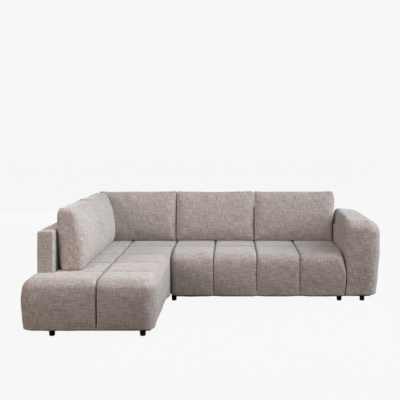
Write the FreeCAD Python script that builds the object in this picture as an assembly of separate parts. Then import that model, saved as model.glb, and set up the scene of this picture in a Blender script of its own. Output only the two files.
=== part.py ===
import FreeCAD, Part
import math
import os

V = FreeCAD.Vector

# Corner sofa with an open-ended chaise on the left and an armrest on the right.
# Millimetres, +Z up, the front looks towards -Y, the origin is under the middle of the sofa.

# Heights above the floor
foot_height = 50.0
seat_height = 440.0
arm_height = 740.0
panel_height = 764.0
cushion_height = 499.7

# Seat plan: rows of quilted blocks from the front of the chaise to the back panel
chaise_row_depths = [325.0, 370.0, 380.0, 440.0, 485.0]
main_row_count = 2
left_column_width = 389.0
right_column_width = 450.0
main_block_widths = [392.0, 392.0, 392.0, 406.0]
module_gap = 0.6

# Panels and arm
front_block_overhang = 40.0
side_panel_thickness = 126.0
side_panel_setback = 263.0
back_thickness = 130.0
arm_width = 333.0
arm_front_depth = 395.0

# Soft edges: radius over the top edge and how far the foot of the face draws in
seam_radius = 22.0
seat_edge_radius = 75.0
seat_draw = 22.0
arm_outer_radius = 130.0
arm_outer_draw = 60.0
arm_front_radius = 90.0
arm_inner_radius = 90.0
arm_rear_radius = 80.0
arm_crease_radius = 9.0
panel_edge_radius = 22.0
crown_run = 25.0
outer_corner_radius = 52.0
arm_corner_radius = 85.0
front_groove_radius = 24.0
crossing_radius = 8.0

# Upholstery thickness
thin_cover = 12.0
padded_cover = 28.0
quilt_thickness = 40.0
quilt_backing = 16.0
arm_top_pad = 50.0
arm_side_pad = 30.0

# Timber
rail_thickness = 32.0
rail_height = 138.0
stretcher_height = 98.0
upright_width = 45.0
top_rail_height = 40.0
arm_board_thickness = 28.0
arm_frame_width = 220.0
arm_frame_top = 585.0
foot_block_length = 90.0
foot_block_depth = 70.0
foot_block_height = 40.0
dust_cover_thickness = 2.0

# Springs: sinuous wire held by a clip at each end
spring_wire = 4.0
spring_turn_radius = 22.0
spring_leg = 30.0
spring_standoff = 4.0
spring_end_inset = 9.0
chaise_bays = 3
chaise_springs_per_bay = 5
main_spring_count = 9
main_spring_rail_setback = 215.0
clip_length = 20.0
clip_depth = 10.0

# Loose back cushions
rear_cushion_width = 794.0
rear_cushion_count = 3
rear_cushion_reach = 180.0
side_cushion_width = 725.0
side_cushion_count = 2
side_cushion_reach = 200.0
cushion_lean = 32.0
cushion_bow = 14.0
cushion_front_corner = 36.0
cushion_back_corner = 24.0
cushion_cover = 12.0
cushion_gap = 2.0
cushion_corner_gap = 17.0
rest_gap = 0.3

# Feet and fasteners
foot_radius = 24.0
foot_taper = 2.5
foot_chamfer = 3.0
foot_from_rail = 20.0
foot_bolt_radius = 4.0
foot_bolt_in_foot = 23.0
foot_bolt_in_frame = 36.0
chaise_left_foot_from_panel = 37.0
chaise_right_foot_from_rail = 33.0
arm_foot_from_inner_face = 170.0
bolt_radius = 4.0
bolt_length = 54.0
bolt_head_radius = 9.0
bolt_head_height = 5.0
bolt_rows = [40.0, 100.0]
hole_clearance = 0.2

# Hook plates that keep the two seat units together
hook_thickness = 4.0
hook_width = 60.0
hook_end_margin = 14.0
hook_from_front = 140.0
hook_from_rear = 170.0
pin_radius = 5.0
pin_head_radius = 11.0
pin_depth = 24.0
screw_radius = 2.5
screw_head_radius = 5.0
screw_head_height = 3.0
screw_spacing = 36.0
screw_depth = 26.0

# Places across the sofa
total_width = (front_block_overhang + side_panel_thickness + left_column_width + right_column_width
               + module_gap + sum(main_block_widths) + arm_width)
total_depth = sum(chaise_row_depths) + back_thickness
left_x = -total_width / 2
panel_x0 = left_x + front_block_overhang
panel_x1 = panel_x0 + side_panel_thickness
channel_x = panel_x1 + left_column_width
chaise_x1 = channel_x + right_column_width
main_x0 = chaise_x1 + module_gap
main_x1 = main_x0 + sum(main_block_widths)
arm_x1 = main_x1 + arm_width

# Places from front to rear
front_y = -total_depth / 2
rear_y = total_depth / 2
back_y = rear_y - back_thickness
panel_y0 = front_y + side_panel_setback
main_y0 = back_y - sum(chaise_row_depths[-main_row_count:])

# Levels
base_z = foot_height
rail_z0 = base_z + dust_cover_thickness
rail_z1 = rail_z0 + rail_height
spring_z = rail_z1 + spring_standoff + spring_wire / 2
foam_z0 = spring_z + spring_wire / 2 + rest_gap
foam_z1 = seat_height - quilt_thickness
upright_z1 = panel_height - thin_cover - top_rail_height

# Frame outlines inside the covers
chaise_fx0 = panel_x0 + thin_cover
chaise_fx1 = chaise_x1 - seat_draw - padded_cover
chaise_fy0 = front_y + seat_draw + padded_cover
main_fx0 = main_x0 + thin_cover
main_fx1 = main_x1 + thin_cover
main_fy0 = main_y0 + seat_draw + padded_cover
frame_y1 = back_y + thin_cover
back_cavity_y1 = rear_y - thin_cover

# Side treatments: radius at the top edge, draw-in at the foot of the face
SEAM = (seam_radius, 0.0)
SEAT_EDGE = (seat_edge_radius, seat_draw)
PANEL_EDGE = (panel_edge_radius, 0.0)
ARM_OUTER = (arm_outer_radius, arm_outer_draw)
ARM_FRONT = (arm_front_radius, seat_draw)
ARM_INNER = (arm_inner_radius, 0.0)
ARM_REAR = (arm_rear_radius, 0.0)
ARM_CREASE = (arm_crease_radius, 0.0)


def box(x0, x1, y0, y1, z0, z1):
    """Plain block between two corners."""
    return Part.makeBox(x1 - x0, y1 - y0, z1 - z0, V(x0, y0, z0))


def cylinder(radius, length, start, direction):
    """Round bar from a start point along a direction."""
    return Part.makeCylinder(radius, length, start, direction)


def side(a, b, bow, outward):
    """One side of an outline: a straight line, or an arc that bows outwards."""
    if bow <= 0:
        return Part.LineSegment(a, b).toShape()
    middle = (a + b) * 0.5 + outward * bow
    return Part.Arc(a, middle, b).toShape()


def corner(a, b, centre, radius, angle):
    """A quarter-round corner of an outline."""
    middle = centre + V(math.cos(angle), math.sin(angle), 0) * radius
    return Part.Arc(a, middle, b).toShape()


def outline(z, x0, x1, y0, y1, radii, bows=(0.0, 0.0, 0.0, 0.0)):
    """Closed outline at one height; radii and bows run front-left or front, then anticlockwise."""
    limit = 0.45 * min(x1 - x0, y1 - y0)
    fl, fr, rr, rl = [min(radius, limit) for radius in radii]
    front, right, rear, left = bows
    p0, p1 = V(x0 + fl, y0, z), V(x1 - fr, y0, z)
    p2, p3 = V(x1, y0 + fr, z), V(x1, y1 - rr, z)
    p4, p5 = V(x1 - rr, y1, z), V(x0 + rl, y1, z)
    p6, p7 = V(x0, y1 - rl, z), V(x0, y0 + fl, z)
    quarter = math.pi / 4
    return Part.Wire([
        side(p0, p1, front, V(0, -1, 0)),
        corner(p1, p2, V(x1 - fr, y0 + fr, z), fr, -quarter),
        side(p2, p3, right, V(1, 0, 0)),
        corner(p3, p4, V(x1 - rr, y1 - rr, z), rr, quarter),
        side(p4, p5, rear, V(0, 1, 0)),
        corner(p5, p6, V(x0 + rl, y1 - rl, z), rl, 3 * quarter),
        side(p6, p7, left, V(-1, 0, 0)),
        corner(p7, p0, V(x0 + fl, y0 + fl, z), fl, -3 * quarter),
    ])


def inset(treatment, drop, height):
    """How far a face stands back from its widest place, at a drop below the top."""
    radius, draw = treatment
    if drop >= radius:
        return draw * ((drop - radius) / (height - radius)) ** 2
    if drop <= 0:
        return radius + min(crown_run, radius)
    return radius - math.sqrt(radius ** 2 - (radius - drop) ** 2)


def soft_block(x0, x1, y0, y1, z0, z1, front, right, rear, left, radii):
    """Padded block: a ruled loft through outlines that draw in at the foot and round over the top."""
    height = z1 - z0
    treatments = (front, right, rear, left)
    drops = {0.0, height}
    for radius, draw in set(treatments):
        drops.update([radius, radius / 2, radius / 6])
        if draw > 0:
            drops.update([(2 * height + radius) / 3, (height + 2 * radius) / 3, radius * 0.75])
    wires = []
    for drop in sorted(drops, reverse=True):
        a, b, c, d = [inset(treatment, drop, height) for treatment in treatments]
        wires.append(outline(z1 - drop, x0 + d, x1 - b, y0 + a, y1 - c, radii))
    return Part.makeLoft(wires, True, True)


def single(shape):
    """The one solid of a cleaned boolean result."""
    return shape.removeSplitter().Solids[0] if len(shape.Solids) == 1 else shape.removeSplitter()


def bolt(start, direction):
    """Headed bolt whose head lies flush in the face that it enters."""
    head = cylinder(bolt_head_radius, bolt_head_height, start, direction)
    shank = cylinder(bolt_radius, bolt_length, start, direction)
    return single(head.fuse(shank))


def bolt_hole(start, direction):
    """Counterbored hole for one headed bolt."""
    head = cylinder(bolt_head_radius + hole_clearance, bolt_head_height, start, direction)
    shank = cylinder(bolt_radius + hole_clearance, bolt_length, start, direction)
    return head.fuse(shank)


def placed(shape, x, y, z=0.0):
    """A copy of a shape, moved to a place."""
    copy = shape.copy()
    copy.translate(V(x, y, z))
    return copy


def sinuous_spring(run):
    """Zigzag wire from clip to clip: straight legs joined by turns of three short straights."""
    turns = max(2, int(round(run / (2 * spring_turn_radius))))
    radius = run / turns / 2
    bend = radius / math.sqrt(2)
    direction = 1
    points = [V(-spring_leg / 2, 0, spring_z)]
    for turn in range(turns):
        edge_x = direction * spring_leg / 2
        y = turn * 2 * radius
        points.append(V(edge_x, y, spring_z))
        points.append(V(edge_x + direction * bend, y + radius - bend, spring_z))
        points.append(V(edge_x + direction * bend, y + radius + bend, spring_z))
        points.append(V(edge_x, y + 2 * radius, spring_z))
        direction = -direction
    points.append(V(direction * spring_leg / 2, run, spring_z))
    section = Part.Wire([Part.makeCircle(spring_wire / 2, points[0], V(1, 0, 0))])
    return Part.makePolygon(points).makePipeShell([section], True, False, 1)


def spring_clip():
    """Clip on top of a rail, with a bore for the end bar of one spring."""
    z1 = spring_z + spring_wire / 2 + rest_gap / 2
    body = box(-clip_length / 2, clip_length / 2, -clip_depth / 2, clip_depth / 2, rail_z1, z1)
    bore = cylinder(spring_wire / 2 + hole_clearance, 2 * clip_length, V(-clip_length, 0, spring_z), V(1, 0, 0))
    return single(body.cut(bore))


def spread(first, last, count):
    """Evenly spaced places from first to last."""
    return [first + (last - first) * index / (count - 1) for index in range(count)]


parts = {}
holes = []
bolts = []
clips = []


def block_corners(in_front, left_end, right_end):
    """Plan radii of one seat block: grooves and round ends on the front face, tight crossings behind."""
    if not in_front:
        return [crossing_radius] * 4
    front_left = outer_corner_radius if left_end else front_groove_radius
    front_right = outer_corner_radius if right_end else front_groove_radius
    return [front_left, front_right, crossing_radius, crossing_radius]


# Chaise seat cover: two columns of quilted blocks, the front pair full width, over an open cavity
def chaise_seat_cover():
    rows = []
    y = front_y
    for depth in chaise_row_depths:
        rows.append((y, y + depth))
        y += depth
    blocks = []
    first_main_row = len(rows) - main_row_count
    for index, (y0, y1) in enumerate(rows):
        front = SEAT_EDGE if index == 0 else SEAM
        right = SEAT_EDGE if index < first_main_row else SEAM
        left = SEAT_EDGE if index == 0 else SEAM
        x0 = left_x if index == 0 else panel_x1
        radii = block_corners(index == 0, index == 0, False)
        blocks.append(soft_block(x0, channel_x, y0, y1, base_z, seat_height,
                                 front, SEAM, SEAM, left, radii))
        radii = block_corners(index == 0, False, index == 0)
        blocks.append(soft_block(channel_x, chaise_x1, y0, y1, base_z, seat_height,
                                 front, right, SEAM, SEAM, radii))
    backing_z1 = foam_z1 + quilt_backing
    backing = box(panel_x1 + thin_cover, chaise_fx1, chaise_fy0, back_y - thin_cover, foam_z1, backing_z1)
    body = blocks[0].multiFuse(blocks[1:] + [backing])
    panel_room = box(left_x - 1, panel_x1, panel_y0, back_y + 1, base_z - 1, seat_height + 1)
    low_room = box(chaise_fx0, chaise_fx1, chaise_fy0, back_y + 1, base_z - 1, foam_z0)
    return single(body.cut(panel_room).cut(low_room).cut(chaise_foam_shape()))


def chaise_foam_shape():
    front = box(chaise_fx0, chaise_fx1, chaise_fy0, panel_y0 - thin_cover, foam_z0, foam_z1)
    rear = box(panel_x1 + thin_cover, chaise_fx1, panel_y0 - thin_cover, back_y, foam_z0, foam_z1)
    return single(front.fuse(rear))


# Main seat cover: four blocks side by side in two rows
def main_seat_cover():
    blocks = []
    y0 = main_y0
    for row, depth in enumerate(chaise_row_depths[-main_row_count:]):
        front = SEAT_EDGE if row == 0 else SEAM
        x0 = main_x0
        for column, width in enumerate(main_block_widths):
            radii = block_corners(row == 0, column == 0, column == len(main_block_widths) - 1)
            blocks.append(soft_block(x0, x0 + width, y0, y0 + depth, base_z, seat_height,
                                     front, SEAM, SEAM, SEAM, radii))
            x0 += width
        y0 += depth
    backing = box(main_fx0, main_x1 - thin_cover, main_fy0, back_y - thin_cover,
                  foam_z1, foam_z1 + quilt_backing)
    body = blocks[0].multiFuse(blocks[1:] + [backing])
    low_room = box(main_fx0, main_x1 + 1, main_fy0, back_y + 1, base_z - 1, foam_z0)
    return single(body.cut(low_room).cut(main_foam_shape()))


def main_foam_shape():
    return box(main_fx0, main_x1 - thin_cover, main_fy0, back_y, foam_z0, foam_z1)


parts["chaise_seat_cover"] = chaise_seat_cover()
parts["chaise_seat_foam"] = chaise_foam_shape()
parts["main_seat_cover"] = main_seat_cover()
parts["main_seat_foam"] = main_foam_shape()


# Side panel cover: a plain padded wall along the chaise, open below where the base frame enters
def side_panel_cover():
    body = soft_block(panel_x0, panel_x1, panel_y0, rear_y, base_z, panel_height,
                      PANEL_EDGE, PANEL_EDGE, PANEL_EDGE, PANEL_EDGE, [panel_edge_radius] * 4)
    room = box(chaise_fx0, panel_x1 - thin_cover, panel_y0 + thin_cover, back_cavity_y1,
               base_z - 1, panel_height - thin_cover)
    low_room = box(chaise_fx0, panel_x1 + 1, panel_y0 - 1, back_cavity_y1, base_z - 1, foam_z0)
    return single(body.cut(room).cut(low_room))


# Back panel cover of one unit, open below and in front of the rear rail
def back_cover(x0, x1, low_x0, low_x1):
    body = soft_block(x0, x1, back_y, rear_y, base_z, panel_height,
                      PANEL_EDGE, PANEL_EDGE, PANEL_EDGE, PANEL_EDGE, [crossing_radius] * 4)
    room = box(x0 + thin_cover, x1 - thin_cover, frame_y1, back_cavity_y1, foam_z0, panel_height - thin_cover)
    low_room = box(low_x0, low_x1, back_y - 1, back_cavity_y1, base_z - 1, foam_z0)
    return single(body.cut(room).cut(low_room))


# Arm cover: a pillow-like block with a shallow crease across the top
def arm_cover():
    crease_y = main_y0 + arm_front_depth
    front_radii = [outer_corner_radius, arm_corner_radius, crossing_radius, crossing_radius]
    rear_radii = [crossing_radius, crossing_radius, outer_corner_radius, crossing_radius]
    front = soft_block(main_x1, arm_x1, main_y0, crease_y, base_z, arm_height,
                       ARM_FRONT, ARM_OUTER, ARM_CREASE, ARM_INNER, front_radii)
    rear = soft_block(main_x1, arm_x1, crease_y, rear_y, base_z, arm_height,
                      ARM_CREASE, ARM_OUTER, ARM_REAR, ARM_INNER, rear_radii)
    core_top = arm_height - arm_top_pad
    core_x1 = main_fx1 + arm_frame_width + arm_side_pad
    backing = box(main_fx1, core_x1, main_fy0, back_cavity_y1 - 2 * arm_rear_radius,
                  arm_frame_top, core_top + quilt_backing)
    room = box(main_fx1, core_x1, main_fy0, back_cavity_y1, base_z - 1, core_top)
    low_room = box(main_x1 - 1, core_x1, main_fy0, back_cavity_y1, base_z - 1, foam_z0)
    return single(front.multiFuse([rear, backing]).cut(room).cut(low_room))


def arm_foam():
    top_x1 = main_fx1 + arm_frame_width + arm_side_pad
    top = box(main_fx1, top_x1, main_fy0, back_cavity_y1, arm_frame_top, arm_height - arm_top_pad)
    outer = box(main_fx1 + arm_frame_width, top_x1, main_fy0, back_cavity_y1, base_z, arm_frame_top)
    return single(top.fuse(outer))


parts["side_panel_cover"] = side_panel_cover()
parts["chaise_back_cover"] = back_cover(panel_x1, chaise_x1, panel_x1 - 1, chaise_fx1)
parts["main_back_cover"] = back_cover(main_x0, main_x1, main_fx0, main_x1 + 1)
parts["arm_cover"] = arm_cover()
parts["arm_foam"] = arm_foam()


# Base frame of the chaise: four rails, and cross rails that carry the ends of the springs
chaise_inner_x0 = chaise_fx0 + rail_thickness
chaise_inner_x1 = chaise_fx1 - rail_thickness
chaise_inner_y0 = chaise_fy0 + rail_thickness
rear_rail_y0 = frame_y1 - rail_thickness
parts["chaise_left_rail"] = box(chaise_fx0, chaise_inner_x0, chaise_fy0, frame_y1, rail_z0, rail_z1)
parts["chaise_right_rail"] = box(chaise_inner_x1, chaise_fx1, chaise_fy0, frame_y1, rail_z0, rail_z1)
parts["chaise_front_rail"] = box(chaise_inner_x0, chaise_inner_x1, chaise_fy0, chaise_inner_y0,
                                 rail_z0, rail_z1)
parts["chaise_rear_rail"] = box(chaise_inner_x0, chaise_inner_x1, rear_rail_y0, frame_y1, rail_z0, rail_z1)
chaise_rail_ys = spread(chaise_fy0, rear_rail_y0, chaise_bays + 1)
cross_rails = []
for y in chaise_rail_ys[1:-1]:
    cross_rails.append(box(chaise_inner_x0, chaise_inner_x1, y, y + rail_thickness, rail_z0, rail_z1))
parts["chaise_cross_rails"] = Part.makeCompound(cross_rails)

# Base frame of the main seat: four rails, a spring rail near the rear and low stretchers
main_inner_x0 = main_fx0 + rail_thickness
main_inner_x1 = main_fx1 - rail_thickness
main_inner_y0 = main_fy0 + rail_thickness
spring_rail_y0 = back_y - main_spring_rail_setback
parts["main_left_rail"] = box(main_fx0, main_inner_x0, main_fy0, frame_y1, rail_z0, rail_z1)
parts["main_right_rail"] = box(main_inner_x1, main_fx1, main_fy0, frame_y1, rail_z0, rail_z1)
parts["main_front_rail"] = box(main_inner_x0, main_inner_x1, main_fy0, main_inner_y0, rail_z0, rail_z1)
parts["main_rear_rail"] = box(main_inner_x0, main_inner_x1, rear_rail_y0, frame_y1, rail_z0, rail_z1)
parts["main_spring_rail"] = box(main_inner_x0, main_inner_x1, spring_rail_y0,
                                spring_rail_y0 + rail_thickness, rail_z0, rail_z1)
stretchers = []
for x in spread(main_inner_x0, main_inner_x1 - rail_thickness, 4)[1:-1]:
    stretchers.append(box(x, x + rail_thickness, main_inner_y0, spring_rail_y0,
                          rail_z0, rail_z0 + stretcher_height))
parts["main_stretchers"] = Part.makeCompound(stretchers)

# Sinuous springs, front to back, each between two clips
clip = spring_clip()
spring_margin = 3 * spring_turn_radius
chaise_spring_xs = spread(panel_x1 + thin_cover + spring_margin, chaise_inner_x1 - spring_margin,
                          chaise_springs_per_bay)
chaise_spring_run = chaise_rail_ys[1] - chaise_rail_ys[0] - rail_thickness + 2 * spring_end_inset
chaise_spring = sinuous_spring(chaise_spring_run)
chaise_springs = []
for y in [rail_y + rail_thickness - spring_end_inset for rail_y in chaise_rail_ys[:-1]]:
    for x in chaise_spring_xs:
        chaise_springs.append(placed(chaise_spring, x, y))
        clips.extend([placed(clip, x, y), placed(clip, x, y + chaise_spring_run)])
main_spring_xs = spread(main_inner_x0 + spring_margin, main_inner_x1 - spring_margin, main_spring_count)
main_spring_y0 = main_inner_y0 - spring_end_inset
main_spring_run = spring_rail_y0 + spring_end_inset - main_spring_y0
main_spring = sinuous_spring(main_spring_run)
main_springs = []
for x in main_spring_xs:
    main_springs.append(placed(main_spring, x, main_spring_y0))
    clips.extend([placed(clip, x, main_spring_y0), placed(clip, x, main_spring_y0 + main_spring_run)])
parts["chaise_springs"] = Part.makeCompound(chaise_springs)
parts["main_springs"] = Part.makeCompound(main_springs)
parts["spring_clips"] = Part.makeCompound(clips)

# Uprights and top rails of the side panel, the two back panels and the arm
upright_groups = {"side_panel_uprights": [], "chaise_back_uprights": [], "main_back_uprights": [],
                  "arm_uprights": []}
panel_upright_ys = [panel_y0 + thin_cover,
                    (chaise_rail_ys[1] + chaise_rail_ys[2] + rail_thickness - upright_width) / 2,
                    rear_rail_y0 - 2 * upright_width]
for y in panel_upright_ys:
    upright_groups["side_panel_uprights"].append(
        box(chaise_inner_x0, panel_x1 - thin_cover, y, y + upright_width, rail_z0, upright_z1))
    for height in bolt_rows:
        bolts.append((V(chaise_fx0, y + upright_width / 2, rail_z0 + height), V(1, 0, 0)))
chaise_back_xs = spread(panel_x1 + 2 * thin_cover, chaise_inner_x1 - upright_width, 3)
main_back_xs = spread(main_inner_x0 + thin_cover, main_inner_x1 - thin_cover - upright_width, 4)
for name, places in (("chaise_back_uprights", chaise_back_xs), ("main_back_uprights", main_back_xs)):
    for x in places:
        upright_groups[name].append(
            box(x, x + upright_width, frame_y1, back_cavity_y1, rail_z0, upright_z1))
        for height in bolt_rows:
            bolts.append((V(x + upright_width / 2, rear_rail_y0, rail_z0 + height), V(0, 1, 0)))
arm_frame_x1 = main_fx1 + arm_frame_width
arm_board_z1 = base_z + arm_board_thickness
arm_upright_ys = spread(main_fy0 + 2 * rail_thickness, frame_y1 - 2 * rail_thickness, 3)
for y in arm_upright_ys:
    upright_groups["arm_uprights"].append(
        box(main_fx1, arm_frame_x1, y, y + arm_board_thickness, arm_board_z1,
            arm_frame_top - arm_board_thickness))
    for height in bolt_rows:
        bolts.append((V(main_inner_x1, y + arm_board_thickness / 2, rail_z0 + height), V(1, 0, 0)))
for name, uprights in upright_groups.items():
    parts[name] = Part.makeCompound(uprights)
parts["side_panel_top_rail"] = box(chaise_fx0, panel_x1 - thin_cover, panel_y0 + thin_cover,
                                   back_cavity_y1, upright_z1, panel_height - thin_cover)
parts["chaise_back_top_rail"] = box(panel_x1 + thin_cover, chaise_x1 - thin_cover, frame_y1,
                                    back_cavity_y1, upright_z1, panel_height - thin_cover)
parts["main_back_top_rail"] = box(main_x0 + thin_cover, main_x1 - thin_cover, frame_y1,
                                  back_cavity_y1, upright_z1, panel_height - thin_cover)
parts["arm_top_board"] = box(main_fx1, arm_frame_x1, main_fy0, back_cavity_y1,
                             arm_frame_top - arm_board_thickness, arm_frame_top)
parts["arm_bottom_board"] = box(main_fx1, arm_frame_x1, main_fy0, back_cavity_y1, base_z, arm_board_z1)

# Dust covers close the underside of each unit
parts["chaise_dust_cover"] = box(chaise_fx0, chaise_fx1, chaise_fy0, back_cavity_y1, base_z, rail_z0)
parts["main_dust_cover"] = box(main_fx0, main_fx1, main_fy0, back_cavity_y1, base_z, rail_z0)

# Feet: each stands on a bolt that runs up into a block, a rail or the arm's bottom board
front_foot_chaise_y = chaise_inner_y0 + foot_from_rail
front_foot_main_y = main_inner_y0 + foot_from_rail
rear_foot_y = rear_rail_y0 - foot_from_rail
chaise_left_foot_x = panel_x1 + chaise_left_foot_from_panel
chaise_right_foot_x = chaise_inner_x1 - chaise_right_foot_from_rail
main_left_foot_x = main_fx0 + rail_thickness / 2
main_right_foot_x = main_inner_x1 - foot_from_rail
arm_foot_x = main_x1 + arm_foot_from_inner_face
feet = {
    "foot_chaise_front_left": (chaise_left_foot_x, front_foot_chaise_y, True),
    "foot_chaise_front_right": (chaise_right_foot_x, front_foot_chaise_y, True),
    "foot_chaise_rear_left": (chaise_left_foot_x, rear_foot_y, True),
    "foot_chaise_rear_right": (chaise_right_foot_x, rear_foot_y, True),
    "foot_main_front_left": (main_left_foot_x, front_foot_main_y, False),
    "foot_main_front_right": (main_right_foot_x, front_foot_main_y, True),
    "foot_main_rear_left": (main_left_foot_x, rear_foot_y, False),
    "foot_main_rear_right": (main_right_foot_x, rear_foot_y, True),
    "foot_arm_front": (arm_foot_x, front_foot_main_y, False),
    "foot_arm_rear": (arm_foot_x, rear_foot_y, False),
}


def foot_shape():
    """Turned plastic foot, slightly narrower at the floor, with a blind hole for its bolt."""
    low_radius = foot_radius - foot_taper
    profile = Part.makePolygon([V(0, 0, 0), V(low_radius - foot_chamfer, 0, 0), V(low_radius, 0, foot_chamfer),
                                V(foot_radius, 0, foot_height), V(0, 0, foot_height), V(0, 0, 0)])
    body = Part.Face(profile).revolve(V(0, 0, 0), V(0, 0, 1), 360)
    hole_start = V(0, 0, foot_height - foot_bolt_in_foot - hole_clearance)
    hole = cylinder(foot_bolt_radius + hole_clearance, foot_height, hole_start, V(0, 0, 1))
    return single(body.cut(hole))


foot = foot_shape()
foot_bolts = []
foot_blocks = []
for name, (x, y, on_block) in feet.items():
    parts[name] = placed(foot, x, y)
    bolt_start = V(x, y, foot_height - foot_bolt_in_foot)
    bolt_run = foot_bolt_in_foot + foot_bolt_in_frame
    foot_bolts.append(cylinder(foot_bolt_radius, bolt_run, bolt_start, V(0, 0, 1)))
    holes.append(cylinder(foot_bolt_radius + hole_clearance, bolt_run + hole_clearance, bolt_start, V(0, 0, 1)))
    if on_block:
        at_front = y < (chaise_fy0 + frame_y1) / 2 if "chaise" in name else y < (main_fy0 + frame_y1) / 2
        block_y0 = y - foot_from_rail if at_front else y + foot_from_rail - foot_block_depth
        block_x0 = x - foot_block_length / 2
        block_x1 = x + foot_block_length / 2
        if x == main_right_foot_x:
            block_x1 = main_inner_x1
        if x == chaise_right_foot_x:
            block_x1 = min(block_x1, chaise_inner_x1)
        foot_blocks.append(box(block_x0, block_x1, block_y0, block_y0 + foot_block_depth,
                               rail_z0, rail_z0 + foot_block_height))
parts["foot_bolts"] = Part.makeCompound(foot_bolts)
parts["foot_blocks"] = Part.makeCompound(foot_blocks)

# Hook plates under the chaise's right rail hold headed pins in the main seat's left rail
chaise_rail_mid = chaise_fx1 - rail_thickness / 2
main_rail_mid = main_fx0 + rail_thickness / 2
hook_plates = []
hook_pins = []
hook_screws = []
for y in (main_fy0 + hook_from_front, frame_y1 - hook_from_rear):
    plate = box(chaise_rail_mid - hook_end_margin, main_rail_mid + hook_end_margin,
                y - hook_width / 2, y + hook_width / 2, base_z - hook_thickness, base_z)
    slot_radius = pin_radius + hole_clearance
    slot = box(main_rail_mid - slot_radius, main_rail_mid + slot_radius, y, y + hook_width,
               base_z - 2 * hook_thickness, base_z + 1)
    slot_end = cylinder(slot_radius, 3 * hook_thickness, V(main_rail_mid, y, base_z - 2 * hook_thickness),
                        V(0, 0, 1))
    plate = plate.cut(slot).cut(slot_end)
    pin_head = cylinder(pin_head_radius, hook_thickness, V(main_rail_mid, y, base_z - 2 * hook_thickness),
                        V(0, 0, 1))
    pin_shank = cylinder(pin_radius, hook_thickness + pin_depth, V(main_rail_mid, y, base_z - hook_thickness),
                         V(0, 0, 1))
    hook_pins.append(single(pin_head.fuse(pin_shank)))
    holes.append(cylinder(pin_radius + hole_clearance, hook_thickness + pin_depth + hole_clearance,
                          V(main_rail_mid, y, base_z - hook_thickness), V(0, 0, 1)))
    for offset in (-screw_spacing / 2, screw_spacing / 2):
        screw_base = V(chaise_rail_mid, y + offset, base_z - hook_thickness)
        head = cylinder(screw_head_radius, screw_head_height, screw_base - V(0, 0, screw_head_height),
                        V(0, 0, 1))
        shank = cylinder(screw_radius, hook_thickness + screw_depth, screw_base, V(0, 0, 1))
        hook_screws.append(single(head.fuse(shank)))
        screw_hole = cylinder(screw_radius + hole_clearance, hook_thickness + screw_depth + hole_clearance,
                              screw_base, V(0, 0, 1))
        plate = plate.cut(screw_hole)
        holes.append(screw_hole)
    hook_plates.append(single(plate))
parts["hook_plates"] = Part.makeCompound(hook_plates)
parts["hook_pins"] = Part.makeCompound(hook_pins)
parts["hook_screws"] = Part.makeCompound(hook_screws)

# Frame bolts, and every hole that the fasteners need in timber and dust covers
parts["frame_bolts"] = Part.makeCompound([bolt(start, direction) for start, direction in bolts])
holes.extend([bolt_hole(start, direction) for start, direction in bolts])
drilled = ["chaise_left_rail", "chaise_right_rail", "chaise_rear_rail", "main_left_rail", "main_right_rail",
           "main_rear_rail", "side_panel_uprights", "chaise_back_uprights", "main_back_uprights",
           "arm_uprights", "arm_bottom_board", "chaise_dust_cover", "main_dust_cover", "foot_blocks"]
for name in drilled:
    solids = []
    for solid in parts[name].Solids:
        near = [hole for hole in holes if hole.BoundBox.intersect(solid.BoundBox)]
        if near:
            solid = single(solid.cut(Part.makeCompound(near)))
        solids.append(solid)
    parts[name] = solids[0] if len(solids) == 1 else Part.makeCompound(solids)


# Loose back cushion, standing on the seat with its back towards -Y of its own frame
def cushion_shape(width, reach, shrink):
    """Crowned cushion that is thick at the foot, thin at the top and leans back on its panel."""
    height = cushion_height - 2 * shrink
    profile = [
        (0.00, cushion_lean + 12, reach - 24, 14),
        (0.02, cushion_lean, reach - 9, 6),
        (0.08, cushion_lean * 0.85, reach, 2),
        (0.30, cushion_lean * 0.55, reach, 0),
        (0.60, cushion_lean * 0.15, reach * 0.91, 0),
        (0.80, 0.5, reach * 0.77, 1),
        (0.92, 4, reach * 0.65, 6),
        (0.975, 14, reach * 0.54, 14),
        (1.00, 28, reach * 0.43, 28),
    ]
    wires = []
    for share, back, front, end in profile:
        level = shrink + height * share
        bow = cushion_bow * (1 - share ** 2)
        radii = [cushion_back_corner, cushion_back_corner, cushion_front_corner, cushion_front_corner]
        x0 = shrink + end
        x1 = width - shrink - end
        wires.append(outline(level, x0, x1, back + shrink, front - shrink, radii, (0.0, 0.0, bow, 0.0)))
    return Part.makeLoft(wires, True, True)


def add_cushions(name, count, width, reach, turn, places):
    """Covers and fillings of like cushions, turned about Z, each set with its back corner at its place."""
    core = cushion_shape(width, reach, cushion_cover)
    cover = single(cushion_shape(width, reach, 0.0).cut(core))
    for shape in (cover, core):
        shape.rotate(V(0, 0, 0), V(0, 0, 1), turn)
    for index in range(count):
        x, y = places[index]
        parts["%s_%d_cover" % (name, index + 1)] = placed(cover, x, y, cushion_z0)
        parts["%s_%d_filling" % (name, index + 1)] = placed(core, x, y, cushion_z0)


cushion_z0 = seat_height + rest_gap
rear_pitch = rear_cushion_width + cushion_gap
rear_places = [(main_x1 - cushion_gap - step * rear_pitch, back_y - rest_gap)
               for step in reversed(range(rear_cushion_count))]
add_cushions("rear_cushion", rear_cushion_count, rear_cushion_width, rear_cushion_reach, 180, rear_places)
side_pitch = side_cushion_width + cushion_gap
side_cushion_y1 = back_y - rear_cushion_reach - cushion_bow / 2 - cushion_corner_gap
side_places = [(panel_x1 + rest_gap, side_cushion_y1 - step * side_pitch)
               for step in reversed(range(side_cushion_count))]
add_cushions("side_cushion", side_cushion_count, side_cushion_width, side_cushion_reach, -90, side_places)

os.makedirs("parts", exist_ok=True)
for name, shape in parts.items():
    print(name, len(shape.Solids), "solids,", round(shape.Volume / 1000), "cm3")
    shape.exportStep("parts/" + name + ".step")
print(len(parts), "nodes")
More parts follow.
